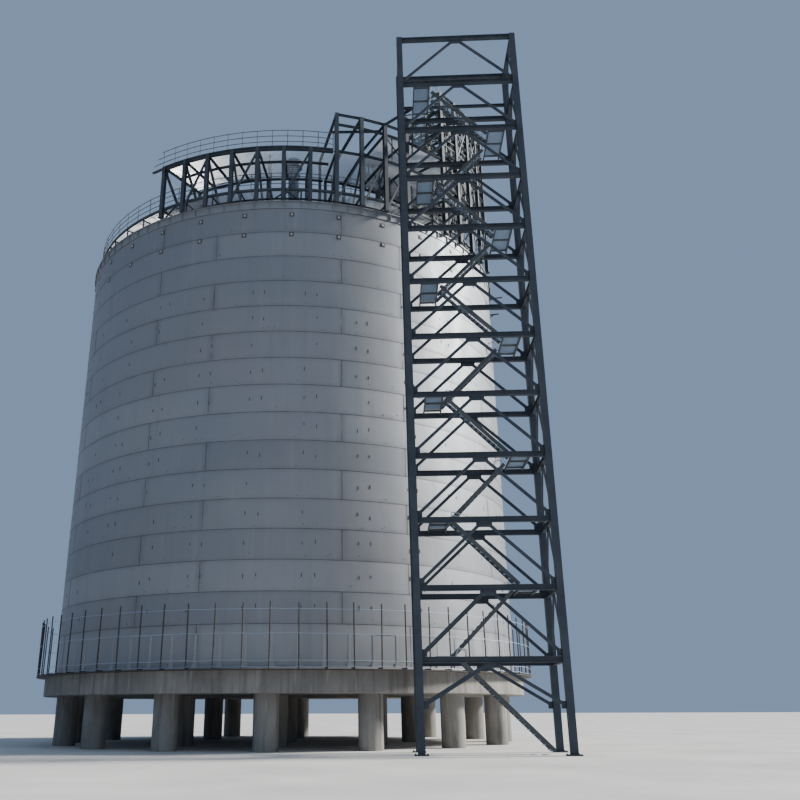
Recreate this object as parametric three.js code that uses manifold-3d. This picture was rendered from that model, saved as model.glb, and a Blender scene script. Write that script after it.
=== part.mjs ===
// Large welded steel storage tank on a raised round slab, with its roof platforms and a stair tower.
// Millimetres, +Z up. The origin is on the tank's axis at ground level, +X runs along the tower's face.
import * as THREE from "three";
import * as BufferGeometryUtils from "three/addons/utils/BufferGeometryUtils.js";
import Module from "manifold-3d";

const wasm = await Module();
wasm.setup();

// Small gap between a piece and a neighbour that it is cut to or stands beside
const GAP = 0.4;
// Corners nearer than this are one corner
const MERGE_DISTANCE = 1e-3;

// Round foundation: a slab on columns
const SLAB_R = 14000;
const SLAB_BOTTOM = 2500;
const SLAB_TOP = 3600;
const COLUMN_D = 1200;
const COLUMN_ANGLE = 1.9;
const COLUMN_RINGS = [
  { radius: 12700, count: 16 },
  { radius: 7400, count: 8 },
];
const COLUMN_SIDES = 10;

// Tank shell: sixteen courses of plate
const SHELL_R = 13500;
const SHELL_T = 25;
const SHELL_SIDES = 32;
const BOTTOM_T = 50;
const BOTTOM_R = 13700;
const FIRST_COURSE_H = 1950;
const COURSE_H = 1500;
const LAST_COURSE_H = 1900;
const COURSES = 16;
const SHELL_FOOT = SLAB_TOP + BOTTOM_T;
const RIM = SHELL_FOOT + FIRST_COURSE_H + (COURSES - 2) * COURSE_H + LAST_COURSE_H;

// Top ring round the rim, an angle whose flange carries the roof
const CURB_H = 400;
const CURB_R = 13620;
const FLANGE_T = 50;
const FLANGE_IN_R = 13200;
const CURB_TOP = RIM + FLANGE_T;

// Dome roof
const DOME_RISE = 3560;
const DOME_T = 60;
const DOME_EDGE_H = 50;
const DOME_EDGE_IN_R = 13250;
const DOME_BANDS = 4;
const DOME_CUT_DEPTH = 1000;
const DOME_FOOT = CURB_TOP + DOME_EDGE_H;
const DOME_SPHERE_R = (SHELL_R ** 2 + DOME_RISE ** 2) / (2 * DOME_RISE);
const DOME_CENTRE_Z = DOME_FOOT + DOME_RISE - DOME_SPHERE_R;

// Walkway round the edge of the roof
const WALK_TOP = RIM + 1000;
const WALK_T = 60;
const WALK_IN_R = 12300;
const WALK_OUT_R = 13300;
const WALK_POST = 90;
const WALK_SIDES = 32;
const WALK_POST_SKIP = 2;
const RAIL_H = 1100;
const RAIL_BAR = 50;

// Raised ring platform on posts along the front of the rim
const POST_R = 13700;
const POST_PITCH = 1520;
const POST_W = 300;
const POST_STEP = THREE.MathUtils.radToDeg(POST_PITCH / POST_R);
const FRONT_POST = 5;
const FRONT_POST_ANGLE = -3.2;
const FOOT_IN_R = 13510;
const FOOT_OUT_R = 13870;
const FOOT_T = 40;
const UPPER_TOP = 32050;
const BEAM_H = 300;
const INNER_R = 10500;
const INNER_POST_W = 200;
const MID_RING_R = 12300;
const BRACE_FOOT_R = 11900;
const THIN_BEAM = 160;
const BEAM_LAP = 40;
const DECK_T = 50;
const PLATFORM_RAIL_H = 1150;
const LAST_LOW_POST = 7;
const LAST_POST = 17;
const CANTILEVER = 1000;

// Taller service frame beside the stair tower, and its high part behind the tower
const SERVICE_TOP = 34600;
const HIGH_TOP = 39000;
const FIRST_HIGH_POST = 13;
const FAR_POST_R = 8800;
const FIRST_DECK_POST = 10;
const OPEN_BAY_POST = 12;

// Stair tower: four legs on a rectangle, eleven storeys and a top bay
const TOWER_X0 = 7440;
const TOWER_X1 = 13670;
const TOWER_Y0 = -16560;
const TOWER_Y1 = -13280;
const STOREY = 3000;
const FIRST_LEVEL = 3900;
const LEVELS = 11;
const TOWER_TOP = 36900;
const LEG_W = 330;
const TOWER_BEAM_W = 200;
const TOWER_BEAM_H = 280;
const BRACE_W = 130;
const FIRST_BRACE_FOOT = 1800;
const BASE_PLATE_W = 600;
const BASE_PLATE_T = 40;
const LANDING_L = 900;
const LANDING_Y0 = -15750;
const LANDING_Y1 = -13600;
const TRIMMER_W = 120;
const STAIR_X0 = 9050;
const STAIR_X1 = 12050;
const FLIGHT_W = 800;
const LANE_INSET = 420;
const RISER = 200;
const FLIGHT_DEPTH = 180;
const FLIGHT_HEAD_DROP = 1;

// Mushroom vent on the dome, as [radius, height] from its foot to its cap
const VENT_R = 9900;
const VENT_ANGLE = 5.2;
const VENT_SIDES = 32;
const VENT_OUTLINE = [
  [0, RIM], [290, RIM], [290, 33150], [470, 33150], [480, 33400], [400, 33640], [220, 33800], [0, 33850],
];

// Bridge between the tower's last landing and the service frame
const BRIDGE_LEVEL = FIRST_LEVEL + STOREY * (LEVELS - 1);
const BRIDGE_X0 = STAIR_X0 - LANDING_L;
const BRIDGE_REACH_Y = -9000;
const BRIDGE_FIRST_POST = 200;
const BRIDGE_POST_PITCH = 750;
const BRIDGE_POSTS = 3;

// Guard fence round the base slab
const FENCE_R = 14430;
const FENCE_SIDES = 32;
const FENCE_RING_T = 60;
const FENCE_FOOT = 3500;
const FENCE_H = 3050;
const FENCE_POST = 60;
const FENCE_RAILS = [1600, 2750];
const FENCE_POST_SKIP = 2;
const FENCE_QUARTERS = ["front", "right", "rear", "left"];

const colours = {
  concrete: { color: 0xa9a59c, roughness: 0.9, metalness: 0 },
  plate: { color: 0xb4b8bd, roughness: 0.45, metalness: 0.6 },
  frame: { color: 0x3c4450, roughness: 0.6, metalness: 0.3 },
  galvanised: { color: 0xb9c2c9, roughness: 0.5, metalness: 0.6 },
  pipe: { color: 0x6b6459, roughness: 0.7, metalness: 0.4 },
};
const materials = Object.fromEntries(
  Object.entries(colours).map(([name, values]) => [name, new THREE.MeshStandardMaterial(values)]),
);

const tank = new THREE.Group();

function point(radius, angle, z) {
  const turn = THREE.MathUtils.degToRad(angle);
  return new THREE.Vector3(radius * Math.sin(turn), -radius * Math.cos(turn), z);
}

function postAngle(index) {
  return FRONT_POST_ANGLE + POST_STEP * (index - FRONT_POST);
}

// A closed geometry with shared corners and its faces turned outwards
function closed(geometry) {
  const bare = geometry.index ? geometry.toNonIndexed() : geometry.clone();
  for (const name of ["normal", "uv"]) bare.deleteAttribute(name);
  const merged = BufferGeometryUtils.mergeVertices(bare, MERGE_DISTANCE);
  const place = merged.attributes.position;
  const index = merged.index.array;
  const kept = [];
  let volume = 0;
  for (let i = 0; i < index.length; i += 3) {
    const [a, b, c] = [index[i], index[i + 1], index[i + 2]];
    if (a === b || b === c || a === c) continue;
    const corners = [a, b, c].map((k) => new THREE.Vector3().fromBufferAttribute(place, k));
    volume += corners[0].dot(corners[1].cross(corners[2]));
    kept.push(a, b, c);
  }
  if (volume < 0) kept.reverse();
  merged.setIndex(kept);
  return merged;
}

function toManifold(geometry) {
  const shape = closed(geometry);
  return new wasm.Manifold(new wasm.Mesh({
    numProp: 3,
    vertProperties: new Float32Array(shape.attributes.position.array),
    triVerts: new Uint32Array(shape.index.array),
  }));
}

function toGeometry(manifold) {
  const mesh = manifold.getMesh();
  const geometry = new THREE.BufferGeometry();
  geometry.setAttribute("position", new THREE.BufferAttribute(new Float32Array(mesh.vertProperties), 3));
  geometry.setIndex(new THREE.BufferAttribute(new Uint32Array(mesh.triVerts), 1));
  return geometry;
}

function join(shapes) {
  return shapes.map(toManifold).reduce((whole, shape) => whole.add(shape));
}

function addPiece(name, geometry, finish) {
  const mesh = new THREE.Mesh(geometry, materials[finish]);
  mesh.name = name;
  tank.add(mesh);
}

// A straight bar of rectangular section from one point to another
function bar(from, to, width, height, up = new THREE.Vector3(0, 0, 1)) {
  const along = new THREE.Vector3().subVectors(to, from);
  const length = along.length();
  along.normalize();
  const side = new THREE.Vector3().crossVectors(up, along).normalize();
  const top = new THREE.Vector3().crossVectors(along, side);
  const geometry = new THREE.BoxGeometry(length, width, height);
  geometry.applyMatrix4(new THREE.Matrix4().makeBasis(along, side, top));
  const middle = new THREE.Vector3().addVectors(from, to).multiplyScalar(0.5);
  return geometry.translate(middle.x, middle.y, middle.z);
}

function block(x0, x1, y0, y1, z0, z1) {
  const geometry = new THREE.BoxGeometry(x1 - x0, y1 - y0, z1 - z0);
  return geometry.translate((x0 + x1) / 2, (y0 + y1) / 2, (z0 + z1) / 2);
}

// A post of square section that faces the tank's axis
function ringPost(radius, angle, z0, z1, width) {
  const outwards = point(1, angle, 0);
  return bar(point(radius, angle, z0), point(radius, angle, z1), width, width, outwards);
}

// A turned solid round the tank's axis, from a list of [radius, height]
function turned(profile, sides, startAngle = 0) {
  const outline = profile.map(([radius, z]) => new THREE.Vector2(radius, z));
  const geometry = new THREE.LatheGeometry(outline, sides);
  geometry.rotateX(Math.PI / 2);
  return geometry.rotateZ(THREE.MathUtils.degToRad(startAngle));
}

function ring(innerRadius, outerRadius, z0, z1, sides) {
  const corners = [[innerRadius, z0], [outerRadius, z0], [outerRadius, z1], [innerRadius, z1]];
  return turned([...corners, corners[0]], sides);
}

// A flat plate between two radii that follows a list of angles
function sectorPlate(innerRadius, outerRadius, angles, z0, z1) {
  const outer = angles.map((angle) => point(outerRadius, angle, 0));
  const inner = angles.map((angle) => point(innerRadius, angle, 0)).reverse();
  const corners = [...outer, ...inner].map((corner) => new THREE.Vector2(corner.x, corner.y));
  const outline = new THREE.Shape(corners);
  const geometry = new THREE.ExtrudeGeometry(outline, { depth: z1 - z0, bevelEnabled: false });
  return geometry.translate(0, 0, z0);
}

// Straight bars from post to post that make a ring beam
function ringBeam(radius, angles, top, width, height) {
  const bars = [];
  for (let i = 0; i + 1 < angles.length; i += 1) {
    const from = point(radius, angles[i], top - height / 2);
    const to = point(radius, angles[i + 1], top - height / 2);
    bars.push(bar(from, to, width, height));
  }
  return bars;
}

function domeHeight(radius) {
  return DOME_CENTRE_Z + Math.sqrt(DOME_SPHERE_R ** 2 - radius ** 2);
}

// Foundation
function makeFoundation() {
  const slab = new THREE.CylinderGeometry(SLAB_R, SLAB_R, SLAB_TOP - SLAB_BOTTOM, SHELL_SIDES);
  slab.rotateX(Math.PI / 2).translate(0, 0, (SLAB_TOP + SLAB_BOTTOM) / 2);
  const places = [new THREE.Vector3(0, 0, 0)];
  for (const { radius, count } of COLUMN_RINGS) {
    for (let i = 0; i < count; i += 1) places.push(point(radius, COLUMN_ANGLE + (360 / count) * i, 0));
  }
  const height = (SLAB_BOTTOM + SLAB_TOP) / 2;
  const columns = places.map((place) => {
    const column = new THREE.CylinderGeometry(COLUMN_D / 2, COLUMN_D / 2, height, COLUMN_SIDES);
    return column.rotateX(Math.PI / 2).translate(place.x, place.y, height / 2);
  });
  addPiece("foundation", toGeometry(join([slab, ...columns])), "concrete");
}

// Shell, bottom and top ring
function makeShell() {
  const bottom = new THREE.CylinderGeometry(BOTTOM_R, BOTTOM_R, BOTTOM_T, SHELL_SIDES);
  bottom.rotateX(Math.PI / 2).translate(0, 0, SLAB_TOP + BOTTOM_T / 2);
  addPiece("tank_bottom", closed(bottom), "plate");
  let foot = SHELL_FOOT;
  for (let i = 1; i <= COURSES; i += 1) {
    const height = i === 1 ? FIRST_COURSE_H : i === COURSES ? LAST_COURSE_H : COURSE_H;
    const name = `shell_course_${String(i).padStart(2, "0")}`;
    addPiece(name, closed(ring(SHELL_R - SHELL_T, SHELL_R, foot, foot + height, SHELL_SIDES)), "plate");
    foot += height;
  }
  const inside = SHELL_R + GAP;
  const profile = [
    [inside, RIM - CURB_H], [CURB_R, RIM - CURB_H], [CURB_R, CURB_TOP],
    [FLANGE_IN_R, CURB_TOP], [FLANGE_IN_R, RIM], [inside, RIM], [inside, RIM - CURB_H],
  ];
  addPiece("rim_ring", closed(turned(profile, SHELL_SIDES)), "plate");
}

// Points of the dome's arc from its edge to the axis
function domeArc(sphereRadius, edgeRadius) {
  const edge = Math.asin(edgeRadius / sphereRadius);
  return Array.from({ length: DOME_BANDS + 1 }, (_, i) => {
    const angle = edge * (1 - i / DOME_BANDS);
    const radius = i === DOME_BANDS ? 0 : sphereRadius * Math.sin(angle);
    return [radius, DOME_CENTRE_Z + sphereRadius * Math.cos(angle)];
  });
}

function makeDome() {
  const outer = domeArc(DOME_SPHERE_R, SHELL_R);
  const inner = domeArc(DOME_SPHERE_R - DOME_T, DOME_EDGE_IN_R).reverse();
  const profile = [...inner, [DOME_EDGE_IN_R, CURB_TOP], [SHELL_R, CURB_TOP], ...outer];
  addPiece("dome_roof", closed(turned(profile, SHELL_SIDES)), "plate");
}

// The whole space under the dome's upper face, which what stands on the roof is cut with
function domeBody() {
  const outer = domeArc(DOME_SPHERE_R, SHELL_R).map(([radius, z]) => [radius, z + GAP]);
  const foot = RIM - DOME_CUT_DEPTH;
  return toManifold(turned([[0, foot], [SHELL_R, foot], ...outer], SHELL_SIDES));
}

function makeVent() {
  const place = point(VENT_R, VENT_ANGLE, 0);
  const body = turned(VENT_OUTLINE, VENT_SIDES).translate(place.x, place.y, 0);
  addPiece("roof_vent", toGeometry(toManifold(body).subtract(domeBody())), "frame");
}

// Edge walkway of the roof and its railing
function makeWalkway() {
  const shapes = [ring(WALK_IN_R, WALK_OUT_R, WALK_TOP - WALK_T, WALK_TOP, WALK_SIDES)];
  const head = WALK_TOP - WALK_T / 2;
  for (let i = 0; i < WALK_SIDES; i += WALK_POST_SKIP) {
    const angle = (360 / WALK_SIDES) * i;
    shapes.push(ringPost(WALK_OUT_R - WALK_POST, angle, RIM, head, WALK_POST));
    shapes.push(ringPost(WALK_IN_R + WALK_POST, angle, RIM, head, WALK_POST));
  }
  addPiece("roof_walkway", toGeometry(join(shapes).subtract(domeBody())), "frame");

  const rails = [];
  const middle = WALK_OUT_R - RAIL_BAR;
  for (const height of [RAIL_H, RAIL_H / 2]) {
    const top = WALK_TOP + height;
    rails.push(ring(middle - RAIL_BAR / 2, middle + RAIL_BAR / 2, top - RAIL_BAR, top, WALK_SIDES));
  }
  for (let i = 0; i < WALK_SIDES; i += WALK_POST_SKIP) {
    const angle = (360 / WALK_SIDES) * i;
    rails.push(ringPost(middle, angle, WALK_TOP, WALK_TOP + RAIL_H - RAIL_BAR / 2, RAIL_BAR));
  }
  addPiece("roof_railing", toGeometry(join(rails)), "galvanised");
}

// Outer post with its foot on the rim ring
function rimPost(angle, top) {
  const z = CURB_TOP + FOOT_T / 2;
  const foot = bar(point(FOOT_IN_R, angle, z), point(FOOT_OUT_R, angle, z), POST_W, FOOT_T);
  return [foot, ringPost(POST_R, angle, CURB_TOP, top, POST_W)];
}

function radialBeam(angle, top, inner = INNER_R) {
  const z = top - THIN_BEAM / 2;
  return bar(point(inner - BEAM_LAP, angle, z), point(POST_R, angle, z), THIN_BEAM, THIN_BEAM);
}

function radialBrace(angle) {
  const foot = point(BRACE_FOOT_R, angle, domeHeight(BRACE_FOOT_R));
  return bar(point(POST_R, angle, UPPER_TOP - BEAM_H), foot, THIN_BEAM, THIN_BEAM);
}

function makeUpperPlatform() {
  const shapes = [];
  const angles = [];
  const cantilever = THREE.MathUtils.radToDeg(CANTILEVER / POST_R);
  for (let i = 1; i <= LAST_LOW_POST; i += 1) {
    const angle = postAngle(i);
    angles.push(angle);
    shapes.push(...rimPost(angle, UPPER_TOP), radialBeam(angle, UPPER_TOP), radialBrace(angle));
    if (i % 2 === 1) shapes.push(ringPost(INNER_R, angle, RIM, UPPER_TOP, INNER_POST_W));
  }
  // The ring beams stop at the face of the taller frame's first post
  const clear = THREE.MathUtils.radToDeg((POST_W / 2 + GAP * 2) / INNER_R);
  const ends = [...angles, postAngle(LAST_LOW_POST + 1) - clear];
  shapes.push(...ringBeam(POST_R, [postAngle(1) - cantilever, ...ends], UPPER_TOP, POST_W, BEAM_H));
  shapes.push(...ringBeam(MID_RING_R, ends, UPPER_TOP, THIN_BEAM, THIN_BEAM));
  shapes.push(...ringBeam(INNER_R, ends, UPPER_TOP, INNER_POST_W, THIN_BEAM));
  addPiece("platform_frame", toGeometry(join(shapes).subtract(domeBody())), "frame");

  const deckAngles = [postAngle(1) - cantilever];
  for (let i = 1; i <= LAST_POST; i += 1) deckAngles.push(postAngle(i));
  const inner = INNER_R + POST_W / 2 + GAP;
  const outer = POST_R - POST_W / 2 - GAP;
  const deck = sectorPlate(inner, outer, deckAngles, UPPER_TOP, UPPER_TOP + DECK_T);
  addPiece("platform_deck", closed(deck), "galvanised");

  const rails = [];
  const railAngles = [postAngle(1) - cantilever, ...ends];
  for (const height of [PLATFORM_RAIL_H, PLATFORM_RAIL_H / 2]) {
    rails.push(...ringBeam(POST_R, railAngles, UPPER_TOP + height, RAIL_BAR, RAIL_BAR));
  }
  for (const angle of railAngles) {
    rails.push(ringPost(POST_R, angle, UPPER_TOP, UPPER_TOP + PLATFORM_RAIL_H - RAIL_BAR / 2, RAIL_BAR));
  }
  addPiece("platform_railing", toGeometry(join(rails)), "galvanised");
}

function makeServiceFrame() {
  const angles = [];
  const deckAngles = [];
  const highAngles = [];
  const shapes = [];
  for (let i = LAST_LOW_POST + 1; i <= LAST_POST; i += 1) {
    const angle = postAngle(i);
    const top = i < FIRST_HIGH_POST ? SERVICE_TOP : HIGH_TOP;
    if (i === OPEN_BAY_POST) continue;
    angles.push(angle);
    shapes.push(...rimPost(angle, top), radialBeam(angle, UPPER_TOP), radialBrace(angle));
    if (i < FIRST_DECK_POST) {
      shapes.push(ringPost(INNER_R, angle, RIM, UPPER_TOP, INNER_POST_W));
      shapes.push(ringPost(FAR_POST_R, angle, RIM, top, INNER_POST_W), radialBeam(angle, top, FAR_POST_R));
      continue;
    }
    deckAngles.push(angle);
    shapes.push(ringPost(INNER_R, angle, RIM, top, INNER_POST_W), radialBeam(angle, BRIDGE_LEVEL));
    if (i === FIRST_DECK_POST || i === LAST_POST) shapes.push(radialBeam(angle, SERVICE_TOP));
    if (i < FIRST_HIGH_POST) continue;
    highAngles.push(angle);
    shapes.push(radialBeam(angle, HIGH_TOP));
  }
  for (const top of [UPPER_TOP, BRIDGE_LEVEL]) {
    shapes.push(...ringBeam(POST_R, angles, top, POST_W, THIN_BEAM));
  }
  for (const [top, along] of [[UPPER_TOP, angles], [BRIDGE_LEVEL, deckAngles], [SERVICE_TOP, deckAngles]]) {
    shapes.push(...ringBeam(INNER_R, along, top, INNER_POST_W, THIN_BEAM));
  }
  // The top beam leaves out the bay that the bridge comes in through
  const open = angles.indexOf(postAngle(OPEN_BAY_POST - 1)) + 1;
  for (const side of [angles.slice(0, open), angles.slice(open)]) {
    shapes.push(...ringBeam(POST_R, side, SERVICE_TOP, POST_W, THIN_BEAM));
  }
  shapes.push(...ringBeam(POST_R, highAngles, HIGH_TOP, POST_W, THIN_BEAM));
  shapes.push(...ringBeam(INNER_R, highAngles, HIGH_TOP, INNER_POST_W, THIN_BEAM));
  addPiece("service_frame", toGeometry(join(shapes).subtract(domeBody())), "frame");

  const inner = INNER_R + POST_W / 2 + GAP;
  const outer = POST_R - POST_W / 2 - GAP;
  const deck = sectorPlate(inner, outer, deckAngles, BRIDGE_LEVEL, BRIDGE_LEVEL + DECK_T);
  addPiece("service_deck", closed(deck), "galvanised");
}

// Bridge from the stair tower's last landing to the service frame
function makeBridge() {
  const x0 = BRIDGE_X0;
  const x1 = x0 + LANDING_L;
  const near = TOWER_Y1 + TOWER_BEAM_W / 2 + GAP;
  const shapes = [block(x0, x1, LANDING_Y1 + GAP, BRIDGE_REACH_Y, BRIDGE_LEVEL, BRIDGE_LEVEL + DECK_T)];
  const beamTop = BRIDGE_LEVEL + DECK_T / 2;
  for (const x of [x0, x1 - TRIMMER_W]) {
    shapes.push(block(x, x + TRIMMER_W, near, BRIDGE_REACH_Y, BRIDGE_LEVEL - BEAM_H, beamTop));
  }
  for (const x of [x0, x1 - RAIL_BAR]) {
    for (const height of [RAIL_H, RAIL_H / 2]) {
      const top = BRIDGE_LEVEL + height;
      shapes.push(block(x, x + RAIL_BAR, near + BRIDGE_FIRST_POST, BRIDGE_REACH_Y, top - RAIL_BAR, top));
    }
    for (let i = 0; i < BRIDGE_POSTS; i += 1) {
      const y = near + BRIDGE_FIRST_POST + BRIDGE_POST_PITCH * i;
      shapes.push(block(x, x + RAIL_BAR, y, y + RAIL_BAR, BRIDGE_LEVEL, BRIDGE_LEVEL + RAIL_H));
    }
  }
  // The far end is cut to the outer face of the beam across the open bay
  const halfBay = THREE.MathUtils.degToRad(POST_STEP);
  const faceR = POST_R + (POST_W / 2 + GAP) / Math.cos(halfBay);
  const bay = [OPEN_BAY_POST - 1, OPEN_BAY_POST + 1].map(postAngle);
  const frameSpace = sectorPlate(INNER_R, faceR, bay, BRIDGE_LEVEL - STOREY, BRIDGE_LEVEL + STOREY);
  addPiece("link_bridge", toGeometry(join(shapes).subtract(toManifold(frameSpace))), "frame");
}

// Stair tower
function levelTop(level) {
  return FIRST_LEVEL + STOREY * level;
}

// Inverted V between two levels, in the plane through two points of the storey's foot
function chevron(from, to, low, high) {
  const crown = new THREE.Vector3().addVectors(from, to).multiplyScalar(0.5).setZ(high);
  return [from, to].map((foot) => bar(foot.clone().setZ(low), crown, BRACE_W, BRACE_W));
}

function storeys() {
  const floors = [0, ...Array.from({ length: LEVELS }, (_, level) => levelTop(level)), TOWER_TOP];
  return floors.slice(1).map((top, i) => ({ low: floors[i], high: top }));
}

function makeTowerFace(name, y, bracedTopBay) {
  const shapes = [];
  for (const x of [TOWER_X0, TOWER_X1]) {
    shapes.push(block(x - LEG_W / 2, x + LEG_W / 2, y - LEG_W / 2, y + LEG_W / 2, 0, TOWER_TOP));
    const out = BASE_PLATE_W / 2;
    shapes.push(block(x - out, x + out, y - out, y + out, 0, BASE_PLATE_T));
  }
  const half = TOWER_BEAM_W / 2;
  for (const { low, high } of storeys()) {
    shapes.push(block(TOWER_X0, TOWER_X1, y - half, y + half, high - TOWER_BEAM_H, high));
    if (high === TOWER_TOP && !bracedTopBay) continue;
    const foot = low === 0 ? FIRST_BRACE_FOOT : low + BRACE_W / 2;
    const ends = [TOWER_X0, TOWER_X1].map((x) => new THREE.Vector3(x, y, low));
    shapes.push(...chevron(ends[0], ends[1], foot, high - TOWER_BEAM_H / 2));
  }
  addPiece(name, toGeometry(join(shapes)), "frame");
}

function makeTowerSide(name, x) {
  const shapes = [];
  const y0 = TOWER_Y0 + LEG_W / 2 + GAP;
  const y1 = TOWER_Y1 - LEG_W / 2 - GAP;
  const floors = storeys();
  floors.forEach(({ low, high }, i) => {
    shapes.push(block(x - TOWER_BEAM_W / 2, x + TOWER_BEAM_W / 2, y0, y1, high - TOWER_BEAM_H, high));
    if (i === 0) return;
    const ends = [y0, y1].map((y) => new THREE.Vector3(x, y, low));
    shapes.push(...chevron(ends[0], ends[1], low - TOWER_BEAM_H / 2, high - TOWER_BEAM_H / 2));
  });
  const between = block(x - LEG_W, x + LEG_W, y0, y1, 0, TOWER_TOP);
  addPiece(name, toGeometry(join(shapes).intersect(toManifold(between))), "frame");
}

function isLeft(level) {
  return level % 2 === 0;
}

// Landing plate on two trimmers that span between the front and rear beams
function makeLanding(level) {
  const z = levelTop(level);
  const x0 = isLeft(level) ? STAIR_X0 - LANDING_L : STAIR_X1;
  const x1 = x0 + LANDING_L;
  const beamFace = TOWER_BEAM_W / 2 + GAP;
  const shapes = [block(x0, x1, LANDING_Y0, LANDING_Y1, z, z + DECK_T)];
  for (const x of [x0, x1 - TRIMMER_W]) {
    shapes.push(block(x, x + TRIMMER_W, TOWER_Y0 + beamFace, TOWER_Y1 - beamFace, z - TOWER_BEAM_H / 2, z));
  }
  addPiece(`landing_${String(level).padStart(2, "0")}`, toGeometry(join(shapes)), "galvanised");
}

// One flight that rises to a landing: steps above, a sloping underside below
function makeFlight(level) {
  const head = levelTop(level) + DECK_T;
  const foot = level === 0 ? 0 : levelTop(level - 1) + DECK_T;
  const risers = Math.round((head - foot) / RISER);
  const rise = (head - foot) / risers;
  const going = (STAIR_X1 - STAIR_X0 - GAP * 2) / (STOREY / RISER);
  const direction = isLeft(level) ? 1 : -1;
  const headX = isLeft(level) ? STAIR_X0 + GAP : STAIR_X1 - GAP;
  const outline = [];
  for (let i = 0; i < risers; i += 1) {
    const x = headX + direction * going * i;
    const z = head - rise * i - FLIGHT_HEAD_DROP;
    outline.push(new THREE.Vector2(x, z), new THREE.Vector2(x + direction * going, z));
  }
  const throat = FLIGHT_DEPTH * Math.SQRT2 - rise;
  const footX = headX + direction * going * risers;
  if (level === 0) {
    // The lowest flight stands on the ground with a level cut
    const cutX = footX - direction * throat * (going / rise);
    outline.push(new THREE.Vector2(footX, 0), new THREE.Vector2(cutX, 0));
  } else {
    outline.push(new THREE.Vector2(footX, foot - throat));
  }
  outline.push(new THREE.Vector2(headX, head - throat));
  const lane = isLeft(level) ? LANDING_Y0 + LANE_INSET : LANDING_Y1 - LANE_INSET;
  const steps = new THREE.ExtrudeGeometry(new THREE.Shape(outline), { depth: FLIGHT_W, bevelEnabled: false });
  steps.rotateX(Math.PI / 2).translate(0, lane + FLIGHT_W / 2, 0);
  addPiece(`stair_flight_${String(level).padStart(2, "0")}`, closed(steps), "galvanised");
}

// Guard fence, a quarter of the ring to a piece
function makeFence() {
  const head = FENCE_FOOT + FENCE_RING_T;
  const sides = FENCE_SIDES / FENCE_QUARTERS.length;
  const step = 360 / FENCE_SIDES;
  const trim = THREE.MathUtils.radToDeg(GAP / 2 / SLAB_R);
  const inset = THREE.MathUtils.radToDeg((FENCE_POST / 2 + GAP) / FENCE_R);
  FENCE_QUARTERS.forEach((name, quarter) => {
    const first = step * sides * (quarter - 0.5);
    const angles = Array.from({ length: sides + 1 }, (_, i) => first + step * i);
    angles[0] += trim;
    angles[sides] -= trim;
    const shapes = [sectorPlate(SLAB_R + GAP, FENCE_R + FENCE_POST, angles, FENCE_FOOT, head)];
    for (const height of FENCE_RAILS) {
      const top = FENCE_FOOT + height;
      shapes.push(sectorPlate(FENCE_R - RAIL_BAR / 2, FENCE_R + RAIL_BAR / 2, angles, top - RAIL_BAR, top));
    }
    for (let i = FENCE_POST_SKIP; i <= sides; i += FENCE_POST_SKIP) {
      const angle = i < sides ? angles[i] : angles[i] - inset;
      shapes.push(ringPost(FENCE_R, angle, head - FENCE_RING_T / 2, FENCE_FOOT + FENCE_H, FENCE_POST));
    }
    addPiece(`base_fence_${name}`, toGeometry(join(shapes)), "pipe");
  });
}

makeFoundation();
makeShell();
makeDome();
makeVent();
makeWalkway();
makeUpperPlatform();
makeServiceFrame();
makeBridge();
makeTowerFace("tower_front_face", TOWER_Y0, true);
makeTowerFace("tower_rear_face", TOWER_Y1, false);
makeTowerSide("tower_left_side", TOWER_X0);
makeTowerSide("tower_right_side", TOWER_X1);
for (let level = 0; level < LEVELS; level += 1) {
  makeLanding(level);
  makeFlight(level);
}
makeFence();

export default tank;
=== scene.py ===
"""Looks of the storage tank: every surface's finish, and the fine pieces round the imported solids.

Metres, +Z up, the origin on the tank's axis at ground level. An angle of 0 degrees faces -Y and 90 faces +X.
"""

import math
import random
from itertools import pairwise

import bpy
from mathutils import Matrix, Vector


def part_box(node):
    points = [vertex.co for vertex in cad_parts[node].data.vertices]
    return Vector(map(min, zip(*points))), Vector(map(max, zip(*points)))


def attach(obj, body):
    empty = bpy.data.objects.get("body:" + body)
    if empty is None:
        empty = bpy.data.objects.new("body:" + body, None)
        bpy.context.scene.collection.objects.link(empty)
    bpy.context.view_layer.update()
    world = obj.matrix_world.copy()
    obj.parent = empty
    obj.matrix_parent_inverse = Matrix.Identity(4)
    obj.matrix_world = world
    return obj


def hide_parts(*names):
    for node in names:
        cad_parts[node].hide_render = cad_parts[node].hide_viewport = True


UP = Vector((0, 0, 1))
BODY = "root"

# Camera, as the photograph was taken
CAMERA_PLACE = Vector((6.232, -56.164, 1.835))
CAMERA_HEADING = 2.885
CAMERA_PITCH = 20.654
CAMERA_ROLL = -0.189
CAMERA_LENS = 39.657
CAMERA_SENSOR = 36
CAMERA_SHIFT = (0.0713, -0.0294)
CAMERA_REACH = 2000

# Light
SKY_COLOUR = (0.47, 0.67, 1.0, 1)
SKY_STRENGTH = 0.46
FLOOR_HALF = 320
FLOOR_COLOURS = (0.5, 0.49, 0.47), (0.66, 0.64, 0.61)
# Name, angle, height, spread, strength and colour of each lamp
SUNS = (("key", 104, 30, 10, 8.8, (1.0, 0.96, 0.9)), ("fill", 40, 40, 60, 0.35, (0.9, 0.95, 1.0)))

# Materials
NOISE_ROUGHNESS = 0.55
WORN_EDGE_R = 0.02

# Steps of whole turns, and the radius where discs begin
ROUND_STEPS = 192
COARSE_STEPS = 144
AXIS_R = 0.01

# Foundation
SLAB_T = 1.1
SLAB_CHAMFER = 0.03
SLAB_JOINTS = 36
COLUMN_D = 1.2
COLUMN_ANGLE = 1.9
COLUMN_RINGS = ((12.7, 16), (7.4, 8))

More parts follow.
